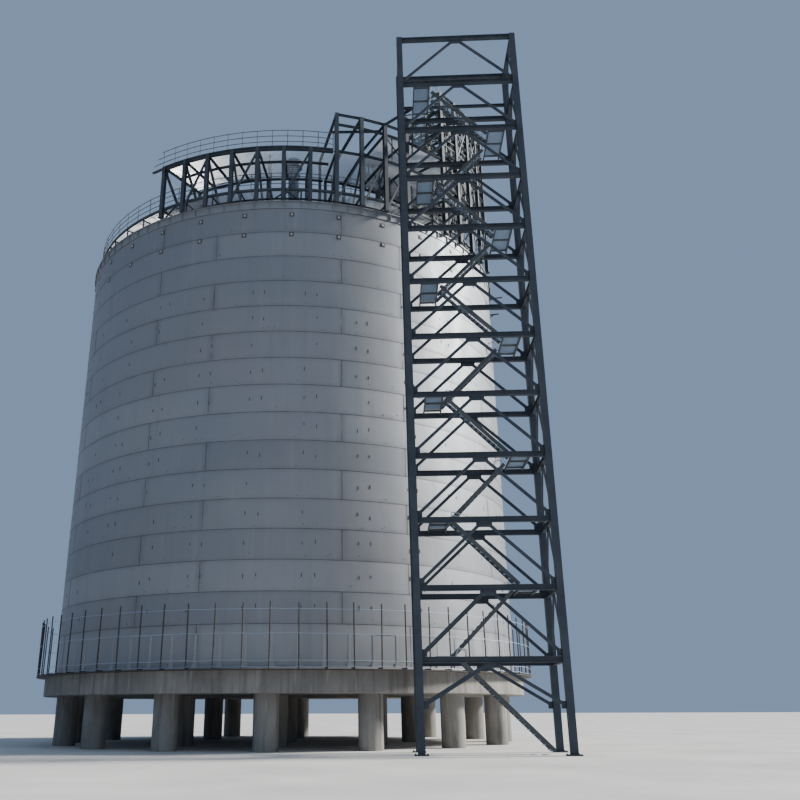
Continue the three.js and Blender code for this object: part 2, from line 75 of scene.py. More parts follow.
# Shell
PLATES = 8
ODD_SEAM_ANGLE = -12.6
EVEN_SEAM_ANGLE = -27.8
SHELL_STEPS = 256
SHELL_T = 0.025
SUNK = 0.004
COURSE_ROWS = (0, 0.05, 0.16, 0.5, 0.84, 0.95, 1)
SEAM_DRAW_IN = 0.006
DRAW_IN_REACH = 0.12
DRAW_IN_ANGLE = 0.9
BUCKLE_REACH = 0.4
WELD_W = 0.028
WELD_PROUD = 0.006
WELD_SUNK = 0.002
TACKS = 40
TACK_SIZE = (0.05, 0.035, 0.01)
LUGS = 32
LUG_ANGLE = 5.3
LUG_SIZE = 0.26
LUG_T = 0.02
LUG_DROPS = (0.8, 2.05)
CLIPS = 30
CLIP_ANGLE = 10.1
CLIP_APART = 0.64
CLIP_H = 0.2
CLIP_W = 0.045
CLIP_T = 0.012
CLIP_MISSING = 0.3
LAST_CLIP_COURSE = 13
COURSE_TONES = {1: 0.66, 4: 0.3, 9: 0.64, 16: 0.36}
RIM_SKIRT = 0.035
RIM_T = 0.05
RIM_INNER_R = 13.2
RIM_STIFFENERS = 96

# Guard fence, and the anchor straps behind its posts
FENCE_R = 14.43
FENCE_POST_D = 0.068
FENCE_POSTS = 69
FENCE_POST_ANGLE = -12.61
FENCE_SIDES = ("front", "right", "rear", "left")
FENCE_RAILS = (0.14, 0.42, 1.6, 2.7)
STRAP_W = 0.13
STRAP_H = 1.5
STRAP_T = 0.016
STRAP_FOOT_H = 0.2
STRAP_LINES = (0.3, 1.52)
STRAP_LINE_MISSING = 0.25

# Ring platform and service frame
POST_R = 13.7
POST_PITCH = 1.52
POST_STEP = math.degrees(POST_PITCH / POST_R)
FRONT_POST = 5
FRONT_POST_ANGLE = -3.2
POST_W = 0.22
NODE_PLATE = 0.42
INNER_R = 10.5
INNER_POST_W = 0.16
MID_RING_R = 12.3
WALK_Z = 29.5
WALK_INNER_R = 12.3
WALK_BAYS = 48
WALK_PANELS = 72
BRACED_BAY = 4
ROOF_RAIL_BAYS = 72
ROOF_RAILS = (1, 0.68, 0.36)
BRACE_FOOT_R = 11.9
UPPER_TOP = 32.05
BEAM_H = 0.2
THIN_BEAM = 0.12
LAST_LOW_POST = 7
LAST_POST = 17
FIRST_DECK_POST = 10
SERVICE_TOP = 34.6
FIRST_HIGH_POST = 13
FAR_POST_R = 8.8
CROSS_BEAM = ((3.31, -11.64), (6.36, -11.55))
HIGH_FLOORS = (1.5, 3.0)
HIGH_RAILS = (0.5, 1.0, 2.1)
THIRDS = (0.33, 0.67)
QUARTERS = (0.25, 0.5, 0.75)
OPEN_BAY_POST = 12
CANTILEVER = 1.0
PLATFORM_RAIL_H = 1.15
PLATFORM_RAILS = (1, 0.66, 0.33)
RAIL_POST_STEP = 3.7
LOOSE_RAIL_ENDS = (0.8, 0.45, 0.1)
PIPE_D = 0.042
RING_GRATING_T = 0.04
RING_GRATING_PITCH = 0.045

# Stair tower
TOWER_X0 = 7.44
TOWER_X1 = 13.67
TOWER_Y0 = -16.56
TOWER_Y1 = -13.28
STOREY = 3.0
FIRST_LEVEL = 3.9
LEVELS = 11
LEG_W = 0.31
BEAM_W = 0.2
TOWER_BEAM_H = 0.25
BRACE_W = 0.14
FOOT_HALF = 0.3
FOOT_T = 0.04
GUSSET_H = 0.22
FACE_GUSSET = 0.72
SIDE_GUSSET = 0.45
RISER = 0.2
STRING_DEPTH = 0.17
STRING_DROP = 0.03
FIRST_BRACE_FOOT = 1.8
LANDING_BEARERS = (-16.1, -14.96, -13.82)
EXTRA_BEAM_Z = 34.7

# Roof, and the fittings on it and at its edge
DOME_RISE = 3.56
DOME_T = 0.06
DOME_EDGE_H = 0.05
# Inner radius, outer radius and plates of each band
DOME_BANDS = ((1.2, 5.0, 12), (5.0, 9.2, 24), (9.2, 13.4, 36))
MANHOLE_RADII = (0.9, 1.15, 1.2)
# Radius, angle, diameter and height of each nozzle
NOZZLES = ((8.0, 15, 0.5, 0.55), (9.5, 118, 0.3, 0.5), (9.5, 205, 0.3, 0.5), (7.2, 250, 0.6, 0.45),
           (8.6, 310, 0.25, 0.7), (6.0, 165, 0.4, 0.5))
VENT_R = 9.9
VENT_ANGLE = 5.2
VENT_STEM_D = 0.64
VENT_CAP = [(0.01, 33.15), (0.52, 33.15), (0.54, 33.4), (0.45, 33.64), (0.24, 33.8), (0.01, 33.845)]
VENT_COLLARS = (0.12, 1.3, 2.4)
VENT_BRACKETS = 6
VALVE_ANGLE = -3.3
VALVE_TOP = 34.1
# Depth of the foot and of the head under the valve's top, and the diameter
VALVE_BODIES = ((1.0, 0.6, 0.3), (0.55, 0.5, 0.24), (0.05, 0.0, 0.2))
EDGE_PIPE_R = 13.6
EDGE_PIPE_ANGLE = 82.5
EDGE_PIPE_LOW = 28.0
EDGE_BRACKETS = ((27.75, 1.0), (26.55, 0.7), (25.4, 0.3))

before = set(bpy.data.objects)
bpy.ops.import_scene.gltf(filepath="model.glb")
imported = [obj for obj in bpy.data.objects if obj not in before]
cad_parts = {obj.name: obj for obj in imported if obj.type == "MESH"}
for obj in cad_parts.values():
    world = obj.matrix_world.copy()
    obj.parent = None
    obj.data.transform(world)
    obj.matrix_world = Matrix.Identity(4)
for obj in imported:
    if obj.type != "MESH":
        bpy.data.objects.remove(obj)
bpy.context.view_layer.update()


def new_object(name, data):
    made = bpy.data.objects.new(name, data)
    bpy.context.scene.collection.objects.link(made)
    return made


def point(radius, angle, z):
    turn = math.radians(angle)
    return Vector((radius * math.sin(turn), -radius * math.cos(turn), z))


def turns(count, first=0):
    """Angles that share out a whole turn, from the first one on."""
    return [first + 360 / count * k for k in range(count)]


def shares(first, last, steps):
    """Places from first to last in equal steps, both ends included."""
    return [first + (last - first) * k / steps for k in range(steps + 1)]


def post_angle(index):
    return FRONT_POST_ANGLE + POST_STEP * (index - FRONT_POST)


def level_top(level):
    return FIRST_LEVEL + STOREY * level


# Node trees of the materials
class Finish:
    """A Principled material whose colour, roughness and bump come from nodes in object space."""

    def __init__(self, name, metallic):
        self.material = bpy.data.materials.new(name)
        self.material.use_nodes = True
        self.tree = self.material.node_tree
        self.shader = self.tree.nodes["Principled BSDF"]
        self.shader.inputs["Metallic"].default_value = metallic
        self.place = self.tree.nodes.new("ShaderNodeTexCoord").outputs["Object"]

    def feed(self, socket, value):
        if isinstance(value, bpy.types.NodeSocket):
            self.tree.links.new(value, socket)
        else:
            socket.default_value = (*value, 1) if socket.type == "RGBA" else value

    def node(self, kind, **values):
        """A new node, with values for its named inputs."""
        node = self.tree.nodes.new(f"ShaderNode{kind}")
        for name, value in values.items():
            self.feed(node.inputs[name], value)
        return node

    def noise(self, scale, detail, stretch=(1, 1, 1)):
        place = self.node("Mapping", Vector=self.place, Scale=stretch).outputs["Vector"]
        noise = self.node("TexNoise", Vector=place, Scale=scale, Detail=detail, Roughness=NOISE_ROUGHNESS)
        return noise.outputs["Fac"]

    def cells(self, scale):
        return self.node("TexVoronoi", Vector=self.place, Scale=scale).outputs["Distance"]

    def spread(self, value, low, high, to_low=0.0, to_high=1.0):
        ends = {"From Min": low, "From Max": high, "To Min": to_low, "To Max": to_high}
        return self.node("MapRange", Value=value, **ends).outputs["Result"]

    def maths(self, operation, first, second, kind="Math"):
        node = self.node(kind)
        node.operation = operation
        self.feed(node.inputs[0], first)
        self.feed(node.inputs[1], second)
        return node.outputs["Value"]

    def mix(self, factor, first, second):
        node = self.node("Mix")
        node.data_type = "RGBA"
        self.feed(node.inputs[0], factor)
        self.feed(node.inputs[6], first)
        self.feed(node.inputs[7], second)
        return node.outputs[2]

    def stain(self, base, colour, noise, low, high, amount=1.0):
        """Lays a colour over the base where the noise passes from low to high."""
        return self.mix(self.spread(noise, low, high, 0, amount), base, colour)

    def attribute(self, name):
        node = self.node("Attribute")
        node.attribute_name = name
        return node.outputs["Fac"]

    def edges(self):
        """Bright where the surface turns sharply, for wear along edges."""
        soft = self.node("Bevel", Radius=WORN_EDGE_R).outputs["Normal"]
        hard = self.node("NewGeometry").outputs["Normal"]
        return self.spread(self.maths("DOT_PRODUCT", soft, hard, "VectorMath"), 0.98, 0.85)

    def done(self, colour, roughness, height=None, strength=0.0, distance=0.0):
        """The material, with its colour, its roughness and its bump, if it has one, joined up."""
        self.feed(self.shader.inputs["Base Color"], colour)
        self.feed(self.shader.inputs["Roughness"], roughness)
        if height is not None:
            bump = self.node("Bump", Height=height, Strength=strength, Distance=distance)
            self.feed(self.shader.inputs["Normal"], bump.outputs["Normal"])
        return self.material


def shell_finish():
    """Mill-finish plate: each plate's own tone, clouds, rain streaks and heat tint along the welds."""
    f = Finish("shell_plate", 0.62)
    clouds = f.spread(f.noise(0.16, 5), 0.3, 0.7)
    base = f.mix(clouds, (0.215, 0.235, 0.262), (0.262, 0.276, 0.294))
    tone = f.attribute("tone")
    base = f.stain(base, (0.37, 0.385, 0.4), tone, 0.5, 1, 0.7)
    base = f.stain(base, (0.135, 0.145, 0.165), tone, 0.5, 0, 0.7)
    base = f.stain(base, (0.25, 0.225, 0.225), f.noise(0.1, 3), 0.5, 0.8, 0.35)
    streaks = f.noise(1.0, 5, (1.7, 1.7, 0.11))
    base = f.stain(base, (0.14, 0.145, 0.155), streaks, 0.54, 0.8, 0.22)
    pale = f.noise(1.0, 5, (2.4, 2.4, 0.16))
    base = f.stain(base, (0.38, 0.39, 0.4), pale, 0.58, 0.82, 0.2)
    tint = f.maths("MULTIPLY", f.attribute("seam"), f.spread(f.noise(1.3, 5), 0.3, 0.7, 0.1, 0.5))
    base = f.mix(tint, base, (0.11, 0.115, 0.13))
    base = f.stain(base, (0.1, 0.1, 0.11), f.cells(2.6), 0.055, 0.02, 0.35)
    roughness = f.spread(f.noise(0.8, 6, (1, 1, 0.4)), 0.3, 0.7, 0.5, 0.64)
    rolled = f.maths("ADD", f.noise(0.4, 3), f.maths("MULTIPLY", f.noise(24, 4, (1, 1, 0.15)), 0.04))
    return f.done(base, roughness, rolled, 0.3, 0.04)


def weld_finish():
    f = Finish("weld", 0.5)
    spots = f.noise(14, 5)
    base = f.mix(f.spread(spots, 0.35, 0.65), (0.045, 0.05, 0.06), (0.11, 0.112, 0.12))
    return f.done(base, f.spread(spots, 0.3, 0.7, 0.45, 0.8), f.noise(60, 3), 0.6, 0.004)


def fitting_finish():
    """Steel pads, straps and clips welded to the shell."""
    f = Finish("fittings", 0.35)
    stains = f.noise(3, 5)
    base = f.mix(f.spread(stains, 0.35, 0.7), (0.3, 0.3, 0.29), (0.47, 0.46, 0.44))
    base = f.stain(base, (0.2, 0.13, 0.09), f.noise(7, 4), 0.55, 0.75, 0.6)
    return f.done(base, f.spread(stains, 0.3, 0.7, 0.5, 0.75), f.noise(30, 3), 0.4, 0.004)


def paint_finish(name, dark, light, dust):
    """Shop paint on rolled sections: uneven coat, dust, chips and a little rust at the edges."""
    f = Finish(name, 0.1)
    coat = f.noise(1.7, 6)
    base = f.mix(f.spread(coat, 0.3, 0.7), dark, light)
    base = f.stain(base, dust, f.noise(0.6, 4), 0.5, 0.8, 0.35)
    worn = f.maths("MULTIPLY", f.edges(), f.spread(f.noise(5, 5), 0.5, 0.7))
    base = f.mix(worn, base, (0.22, 0.19, 0.17))
    base = f.stain(base, (0.16, 0.075, 0.04), f.noise(11, 6), 0.68, 0.74, 0.8)
    return f.done(base, f.spread(coat, 0.3, 0.7, 0.6, 0.8), f.noise(40, 4), 0.25, 0.003)


def zinc_finish(name, dark, light, metallic=0.6):
    """Hot-dip zinc with its spangle, dull in patches."""
    f = Finish(name, metallic)
    spangle = f.cells(22)
    base = f.mix(f.spread(spangle, 0.1, 0.7), dark, light)
    base = f.stain(base, (0.34, 0.35, 0.35), f.noise(1.2, 5), 0.5, 0.75, 0.5)
    return f.done(base, f.spread(f.noise(2.4, 4), 0.3, 0.7, 0.38, 0.62), spangle, 0.15, 0.003)


def pipe_finish():
    """Used scaffold tube: dull brown grey with rust."""
    f = Finish("scaffold_pipe", 0.35)
    coat = f.noise(2.5, 6)
    base = f.mix(f.spread(coat, 0.3, 0.7), (0.03, 0.029, 0.03), (0.075, 0.068, 0.064))
    base = f.stain(base, (0.085, 0.045, 0.03), f.noise(5.5, 5), 0.5, 0.7, 0.6)
    return f.done(base, f.spread(coat, 0.3, 0.7, 0.5, 0.8), f.noise(50, 4), 0.35, 0.003)


def concrete_finish():
    """Cast concrete: grey clouds, blow holes, runs of dirt down the edge and lighter lime streaks."""
    f = Finish("concrete", 0.0)
    clouds = f.noise(0.5, 7)
    base = f.mix(f.spread(clouds, 0.3, 0.7), (0.17, 0.163, 0.15), (0.28, 0.269, 0.25))
    runs = f.noise(1.0, 6, (3.4, 3.4, 0.35))
    base = f.stain(base, (0.085, 0.08, 0.075), runs, 0.5, 0.74, 0.72)
    lime = f.noise(1.0, 6, (4.6, 4.6, 0.5))
    base = f.stain(base, (0.45, 0.432, 0.39), lime, 0.58, 0.78, 0.6)
    holes = f.spread(f.cells(9), 0.09, 0.03)
    base = f.mix(f.maths("MULTIPLY", holes, 0.5), base, (0.12, 0.11, 0.1))
    height = f.maths("SUBTRACT", f.noise(6, 8), f.maths("MULTIPLY", holes, 0.4))
    return f.done(base, f.spread(clouds, 0.3, 0.7, 0.78, 0.95), height, 0.5, 0.02)


PLATE = shell_finish()
WELD = weld_finish()
FITTING = fitting_finish()
FRAME_PAINT = paint_finish("frame_paint", (0.02, 0.03, 0.043), (0.042, 0.056, 0.077), (0.1, 0.105, 0.11))
DECK_PAINT = paint_finish("deck_frame", (0.05, 0.06, 0.068), (0.09, 0.105, 0.115), (0.2, 0.2, 0.19))
ZINC = zinc_finish("galvanised", (0.3, 0.33, 0.37), (0.5, 0.54, 0.58))
# Grating zinc, darker and bluer than bare zinc: painted shade and painted sky tint, as seen from below in
# shade; the fence rails use it too
GRATING_PAINTED_SHADE = zinc_finish("grating", (0.25, 0.33, 0.43), (0.35, 0.45, 0.57), 0.3)
DECK_GRATING = zinc_finish("deck_grating", (0.56, 0.58, 0.6), (0.74, 0.76, 0.78), 0.2)
STRAP = zinc_finish("strap", (0.23, 0.243, 0.258), (0.31, 0.322, 0.336), 0.4)
STUD = paint_finish("stud_paint", (0.045, 0.058, 0.06), (0.08, 0.1, 0.1), (0.12, 0.14, 0.14))
VENT_PAINT = paint_finish("vent_paint", (0.12, 0.16, 0.22), (0.17, 0.22, 0.3), (0.24, 0.25, 0.26))
PIPE = pipe_finish()
CONCRETE = concrete_finish()


# Outlines of sections, counter-clockwise, across and up
def flat_outline(width, height):
    w, h = width / 2, height / 2
    return [(-w, -h), (w, -h), (w, h), (-w, h)]


def beam_outline(width, height, web=0.012, flange=0.018):
    w, h, t = width / 2, height / 2, web / 2
    low, top = -h + flange, h - flange
    right = [(w, -h), (w, low), (t, low), (t, top), (w, top), (w, h)]
    return right + [(-x, -z) for x, z in right]


def channel_outline(width, height, thick=0.01):
    w, h = width / 2, height / 2
    return [(-w, -h), (w, -h), (w, -h + thick), (-w + thick, -h + thick),
            (-w + thick, h - thick), (w, h - thick), (w, h), (-w, h)]


def angle_outline(size, thick=0.012):
    s = size / 2
    return [(-s, -s), (s, -s), (s, -s + thick), (-s + thick, -s + thick), (-s + thick, s), (-s, s)]


def turned(outline, side):
    """The outline as it is for side 1, or turned by half a turn for side -1."""
    return [(a * side, b * side) for a, b in outline]


def round_outline(diameter, sides=8):
    angles = [2 * math.pi * i / sides for i in range(sides)]
    return [(diameter / 2 * math.cos(t), diameter / 2 * math.sin(t)) for t in angles]


def band(inner, outer, low, high):
    """Outline of a flat ring, for Piece.ring."""
    return [(inner, low), (outer, low), (outer, high), (inner, high)]


THIN = beam_outline(THIN_BEAM, THIN_BEAM, 0.01, 0.012)
INNER_POST = beam_outline(INNER_POST_W, INNER_POST_W)
BRACE = angle_outline(0.09)
WIDE_STUD = channel_outline(0.1, 0.06)
SLIM_STUD = channel_outline(0.08, 0.05)
RIM_BRACE = angle_outline(0.1)
LIGHT_BEAM = beam_outline(0.14, 0.16)
TUBE = round_outline(PIPE_D)


class Piece:
    """Gathers the vertices and faces of one visible piece, each face with its material and values."""

    def __init__(self, materials):
        self.materials = materials
        self.verts = []
        self.faces = []
        self.marks = []
        self.tones = []
        self.seams = {}

    def add(self, verts, faces, material=None, tone=0.5):
        start = len(self.verts)
        self.verts.extend(tuple(v) for v in verts)
        self.faces.extend([start + i for i in face] for face in faces)
        self.marks.extend([self.materials.index(material or self.materials[0])] * len(faces))
        self.tones.extend([tone] * len(faces))
        return start

    def bar(self, start, end, outline, material=None, up=UP):
        start, end = Vector(start), Vector(end)
        along = (end - start).normalized()
        side = up.cross(along)
        if side.length < 0.01:
            side = Vector((1, 0, 0))
        side.normalize()
        top = along.cross(side)
        n = len(outline)
        verts = [base + side * a + top * b for base in (start, end) for a, b in outline]
        faces = [[i, (i + 1) % n, n + (i + 1) % n, n + i] for i in range(n)]
        faces += [list(range(n))[::-1], list(range(n, 2 * n))]
        self.add(verts, faces, material)

    def spoke(self, angle, start, end, outline, material=None):
        """A bar at one angle, between two places given as (radius, height)."""
        self.bar(point(start[0], angle, start[1]), point(end[0], angle, end[1]), outline, material)

    def chord(self, radius, start, end, outline, material=None):
        """A bar at one radius, between two places given as (angle, height)."""
        self.bar(point(radius, *start), point(radius, *end), outline, material)

    def post(self, radius, angle, low, high, outline, material=None):
        """An upright bar whose section faces the tank's axis."""
        out = point(1, angle, 0)
        self.bar(point(radius, angle, low), point(radius, angle, high), outline, material, out)

    def ring(self, profile, steps, first=0, last=360, material=None, bend=None, centre=Vector()):
        """Sweeps a closed outline of (radius, height) round an upright axis. It runs counter-clockwise."""
        n = len(profile)
        whole = last - first >= 360
        places = steps if whole else steps + 1
        verts = []
        for k in range(places):
            angle = first + (last - first) * k / steps
            verts += [centre + point(r + (bend(angle, r, z) if bend else 0), angle, z) for r, z in profile]
        faces = []
        for k in range(steps):
            here, there = k * n, ((k + 1) % places) * n
            faces += [[here + i, there + i, there + (i + 1) % n, here + (i + 1) % n] for i in range(n)]
        if not whole:
            faces += [list(range(n)), list(range(steps * n, steps * n + n))[::-1]]
        return self.add(verts, faces, material)

    def ring_plate(self, radius, angle, z, width, height, thick, material=None):
        """A small plate that lies on a round wall and is as wide as its chord."""
        outline = flat_outline(width, thick)
        self.post(radius + thick / 2, angle, z - height / 2, z + height / 2, outline, material)

    def bolt(self, place, out, size=0.03):
        self.bar(place, Vector(place) + Vector(out).normalized() * size * 0.8, round_outline(size * 1.6, 6))

    def finish(self, name, nodes, smooth=None):
        mesh = bpy.data.meshes.new(name)
        mesh.from_pydata(self.verts, [], self.faces)
        for material in self.materials:
            mesh.materials.append(material)
        mesh.polygons.foreach_set("material_index", self.marks)
        if PLATE in self.materials:
            tone = mesh.attributes.new("tone", "FLOAT", "FACE")
            tone.data.foreach_set("value", self.tones)
            seam = mesh.attributes.new("seam", "FLOAT", "POINT")
            seam.data.foreach_set("value", [self.seams.get(i, 0.0) for i in range(len(self.verts))])
        mesh.validate()
        mesh.update()
        if smooth:
            mesh.polygons.foreach_set("use_smooth", [True] * len(mesh.polygons))
            mesh.set_sharp_from_angle(angle=math.radians(smooth))
        piece = new_object(name, mesh)
        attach(piece, BODY)
        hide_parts(*nodes)


# Foundation
def make_foundation():
    low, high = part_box("foundation")
    radius, top = high.x, high.z
    foot = top - SLAB_T
    inset = radius - SLAB_CHAMFER
    p = Piece([CONCRETE])
    p.ring([(AXIS_R, foot), (inset, foot), (radius, foot + SLAB_CHAMFER), (radius, top - SLAB_CHAMFER),
            (inset, top), (AXIS_R, top)], ROUND_STEPS)
    places = [(0, 0)]
    for ring_radius, count in COLUMN_RINGS:
        places += [(ring_radius, angle) for angle in turns(count, COLUMN_ANGLE)]
    for ring_radius, angle in places:
        base = point(ring_radius, angle, 0)
        p.bar(base, base + UP * (foot + 0.05), round_outline(COLUMN_D, 32))
    for angle in turns(SLAB_JOINTS):
        p.ring_plate(radius - SUNK, angle, (foot + top) / 2, 0.03, SLAB_T - 0.06, 0.012)
    p.finish("foundation_cast", ["foundation"], smooth=40)


# Shell plates, one piece to a course
def wave(angle, z):
    """Slight buckles of thin plate between its welds."""
    a = math.radians(angle)
    return (0.0035 * math.sin(9 * a + 1.1 * z) + 0.003 * math.sin(17 * a - 0.7 * z)
            + 0.002 * math.sin(31 * a + 2.3 * z))


def make_straps(p, radius, foot, rng):
    """Anchor straps at the shell's foot, with flat bars from strap to strap in most bays."""
    step = 360 / FENCE_POSTS
    root = radius - SUNK
    for angle in turns(FENCE_POSTS, FENCE_POST_ANGLE):
        p.ring_plate(root, angle, foot + STRAP_H / 2, STRAP_W, STRAP_H, STRAP_T, STRAP)
        p.ring_plate(root, angle, foot + STRAP_FOOT_H / 2, STRAP_W * 2, STRAP_FOOT_H, STRAP_T * 2, STRAP)
        for rise in STRAP_LINES:
            if rng.random() < STRAP_LINE_MISSING:
                continue
            z = foot + rise
            flat_bar = band(radius - 0.01, radius + 0.012, z - 0.025, z + 0.025)
            p.ring(flat_bar, 3, angle + 0.2, angle + step - 0.2, STRAP)


def make_course(index, rng):
    name = f"shell_course_{index:02d}"
    low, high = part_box(name)
    radius, foot, top = high.x, low.z, high.z
    seam_start = ODD_SEAM_ANGLE if index % 2 else EVEN_SEAM_ANGLE
    pitch = 360 / PLATES
    p = Piece([PLATE, WELD, FITTING, STRAP])

    def bend(angle, r, z):
        if r < radius - 0.01:
            return 0
        edge = min(z - foot, top - z)
        from_seam = abs((angle - seam_start + pitch / 2) % pitch - pitch / 2)
        level_share = math.exp(-edge / DRAW_IN_REACH)
        upright_share = math.exp(-((from_seam / DRAW_IN_ANGLE) ** 2))
        return wave(angle, z) * min(1, edge / BUCKLE_REACH) - SEAM_DRAW_IN * (level_share + upright_share)

    profile = [(radius, foot + (top - foot) * share) for share in COURSE_ROWS]
    profile += [(radius - SHELL_T, top), (radius - SHELL_T, foot)]
    p.ring(profile, SHELL_STEPS, seam_start, seam_start + 360, bend=bend)
    n = len(profile)
    base_tone = COURSE_TONES.get(index, rng.uniform(0.42, 0.6))
    plate_tones = [min(1, max(0, base_tone + rng.uniform(-0.07, 0.07))) for _ in range(PLATES)]
    for k in range(SHELL_STEPS):
        plate = k * PLATES // SHELL_STEPS
        p.tones[k * n:(k + 1) * n] = [plate_tones[plate]] * n
        upright = 0.9 if k % (SHELL_STEPS // PLATES) == 0 else 0.0
        for i, share in enumerate(COURSE_ROWS):
            close = 1.0 if share in (0, 1) else 0.35 if share in (0.05, 0.95) else 0.0
            p.seams[k * n + i] = max(close, upright)
    bead = radius - SEAM_DRAW_IN
    root = bead - WELD_SUNK
    p.ring([(root, top - WELD_W / 2), (bead + WELD_PROUD, top - WELD_W / 4),
            (bead + WELD_PROUD, top + WELD_W / 4), (root, top + WELD_W / 2)], SHELL_STEPS, material=WELD)
    middle = (foot + top) / 2
    for angle in turns(PLATES, seam_start):
        p.ring_plate(root, angle, middle, WELD_W * 0.8, top - foot, WELD_PROUD, WELD)
    if 2 <= index <= LAST_CLIP_COURSE:
        half = math.degrees(CLIP_APART / 2 / radius)
        for clip_angle in turns(CLIPS, CLIP_ANGLE):
            for side in (-1, 1):
                if rng.random() < CLIP_MISSING:
                    continue
                angle = clip_angle + side * half + rng.uniform(-0.1, 0.1)
                z = middle + rng.uniform(-0.12, 0.12)
                height = CLIP_H * rng.uniform(0.6, 1.1)
                p.ring_plate(radius - WELD_SUNK, angle, z, CLIP_W, height, CLIP_T, WELD)
    for _ in range(TACKS):
        angle = rng.uniform(0, 360)
        p.ring_plate(radius - SUNK, angle, foot + rng.uniform(0.12, 0.3), *TACK_SIZE, WELD)
    if index == 1:
        make_straps(p, radius, foot, rng)
    boss = LUG_SIZE * 0.45
    for drop in LUG_DROPS:
        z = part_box("shell_course_16")[1].z - drop
        if foot < z <= top:
            for angle in turns(LUGS, LUG_ANGLE):
                p.ring_plate(radius - SUNK, angle, z, LUG_SIZE, LUG_SIZE, LUG_T, WELD)
                p.ring_plate(radius + LUG_T - 0.006, angle, z, boss, boss, 0.03, FITTING)
    p.finish(f"{name}_plates", [name], smooth=25)


def make_tank_bottom():
    low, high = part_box("tank_bottom")
    edge = high.x
    p = Piece([PLATE, WELD])
    p.ring([(AXIS_R, low.z), (edge, low.z), (edge, high.z - 0.01), (edge - 0.01, high.z), (AXIS_R, high.z)],
           ROUND_STEPS)
    p.finish("bottom_plate", ["tank_bottom"], smooth=25)


def make_rim_ring():
    low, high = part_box("rim_ring")
    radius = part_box("shell_course_16")[1].x
    skirt = radius + RIM_SKIRT
    ledge = high.z - RIM_T
    p = Piece([PLATE, WELD])
    p.ring([(radius, low.z), (skirt, low.z), (skirt, ledge), (high.x, ledge), (high.x, high.z),
            (RIM_INNER_R, high.z), (RIM_INNER_R, ledge), (radius, ledge)], SHELL_STEPS)
    for angle in turns(RIM_STIFFENERS):
        p.ring_plate(skirt, angle, (low.z + high.z) / 2, 0.02, 0.34, 0.07)
    p.ring([(radius - 0.005, low.z - 0.03), (radius + 0.02, low.z), (radius - 0.005, low.z + 0.005)],
           SHELL_STEPS, material=WELD)
    p.finish("rim_angle", ["rim_ring"], smooth=30)


# Roof
def dome_height(radius):
    """Height of the dome's outer face, part of a sphere, at a distance from the axis."""
    low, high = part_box("dome_roof")
    sphere = (high.x ** 2 + DOME_RISE ** 2) / (2 * DOME_RISE)
    centre = low.z + DOME_EDGE_H + DOME_RISE - sphere
    return centre + math.sqrt(sphere ** 2 - radius ** 2)


def make_vent():
    """Tall vent with a mushroom cap, behind the ring platform."""
    p = Piece([VENT_PAINT])
    foot = point(VENT_R, VENT_ANGLE, dome_height(VENT_R) - 0.1)
    cap_low = VENT_CAP[0][1]
    stem = VENT_STEM_D / 2
    p.bar(foot, foot + UP * (cap_low - foot.z + 0.1), round_outline(VENT_STEM_D, 24))
    centre = point(VENT_R, VENT_ANGLE, 0)
    p.ring(VENT_CAP, 32, centre=centre)
    for rise in VENT_COLLARS:
        z = foot.z + rise
        p.ring(band(stem, stem + 0.08, z, z + 0.04), 24, centre=centre)
    for angle in turns(VENT_BRACKETS):
        p.bar(centre + point(stem - 0.02, angle, cap_low - 0.3),
              centre + point(0.36, angle, cap_low + 0.02), flat_outline(0.02, 0.05))
    p.finish("roof_vent_body", ["roof_vent"], smooth=30)


def make_valve(p):
    """Relief valve with two side arms."""
    foot = point(VENT_R, VALVE_ANGLE, dome_height(VENT_R) - 0.1)
    head = Vector((foot.x, foot.y, VALVE_TOP))
    p.bar(foot, head, round_outline(0.13, 12), VENT_PAINT)
    for low, high, size in VALVE_BODIES:
        p.bar(head - UP * low, head - UP * high, round_outline(size, 16), VENT_PAINT)
    arm = head - UP * 0.48
    aside = point(1, VALVE_ANGLE + 90, 0)
    p.bar(arm - aside * 0.42, arm + aside * 0.42, round_outline(0.09, 10), VENT_PAINT)
    for out in (-aside, aside):
        p.bar(arm + out * 0.39, arm + out * 0.44, round_outline(0.17, 12), VENT_PAINT)


def make_dome():
    low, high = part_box("dome_roof")
    edge = high.x
    p = Piece([PLATE, WELD, FITTING, VENT_PAINT])
    rings = 14
    outer = [(edge * (1 - i / rings), dome_height(edge * (1 - i / rings))) for i in range(rings)]
    inner = [(r * 0.98, z - DOME_T) for r, z in outer][::-1]
    crown = [(0.02, high.z), (0.02, high.z - DOME_T)]
    p.ring([(13.25, low.z), (edge, low.z)] + outer + crown + inner, ROUND_STEPS)
    for number, (inside, outside, count) in enumerate(DOME_BANDS):
        seam_z = dome_height(outside)
        p.ring([(outside + 0.03, seam_z - 0.01), (outside, seam_z + 0.008), (outside - 0.03, seam_z - 0.01)],
               ROUND_STEPS, material=WELD)
        for angle in turns(count, 180 / count * (number % 2)):
            for a, b in pairwise(shares(inside, outside, 5)):
                p.spoke(angle, (a, dome_height(a)), (b, dome_height(b)), flat_outline(0.05, 0.014), WELD)
    top = dome_height(0)
    inside, neck, lid = MANHOLE_RADII
    p.ring([(inside, top - 0.1), (neck, top - 0.1), (neck, top + 0.35), (lid, top + 0.35), (lid, top + 0.4),
            (inside, top + 0.4)], 48, material=FITTING)
    for radius, angle, size, rise in NOZZLES:
        foot = point(radius, angle, dome_height(radius) - 0.15)
        head = foot + UP * (rise + 0.15)
        p.bar(foot, head, round_outline(size, 20), FITTING)
        p.bar(head, head + UP * 0.05, round_outline(size * 1.5, 20), FITTING)
        for bolt_angle in turns(8):
            at = head + point(size * 0.62, bolt_angle, 0)
            p.bar(at, at + UP * 0.09, round_outline(0.05, 6), WELD)
    make_valve(p)
    p.finish("roof_plates", ["dome_roof"], smooth=30)


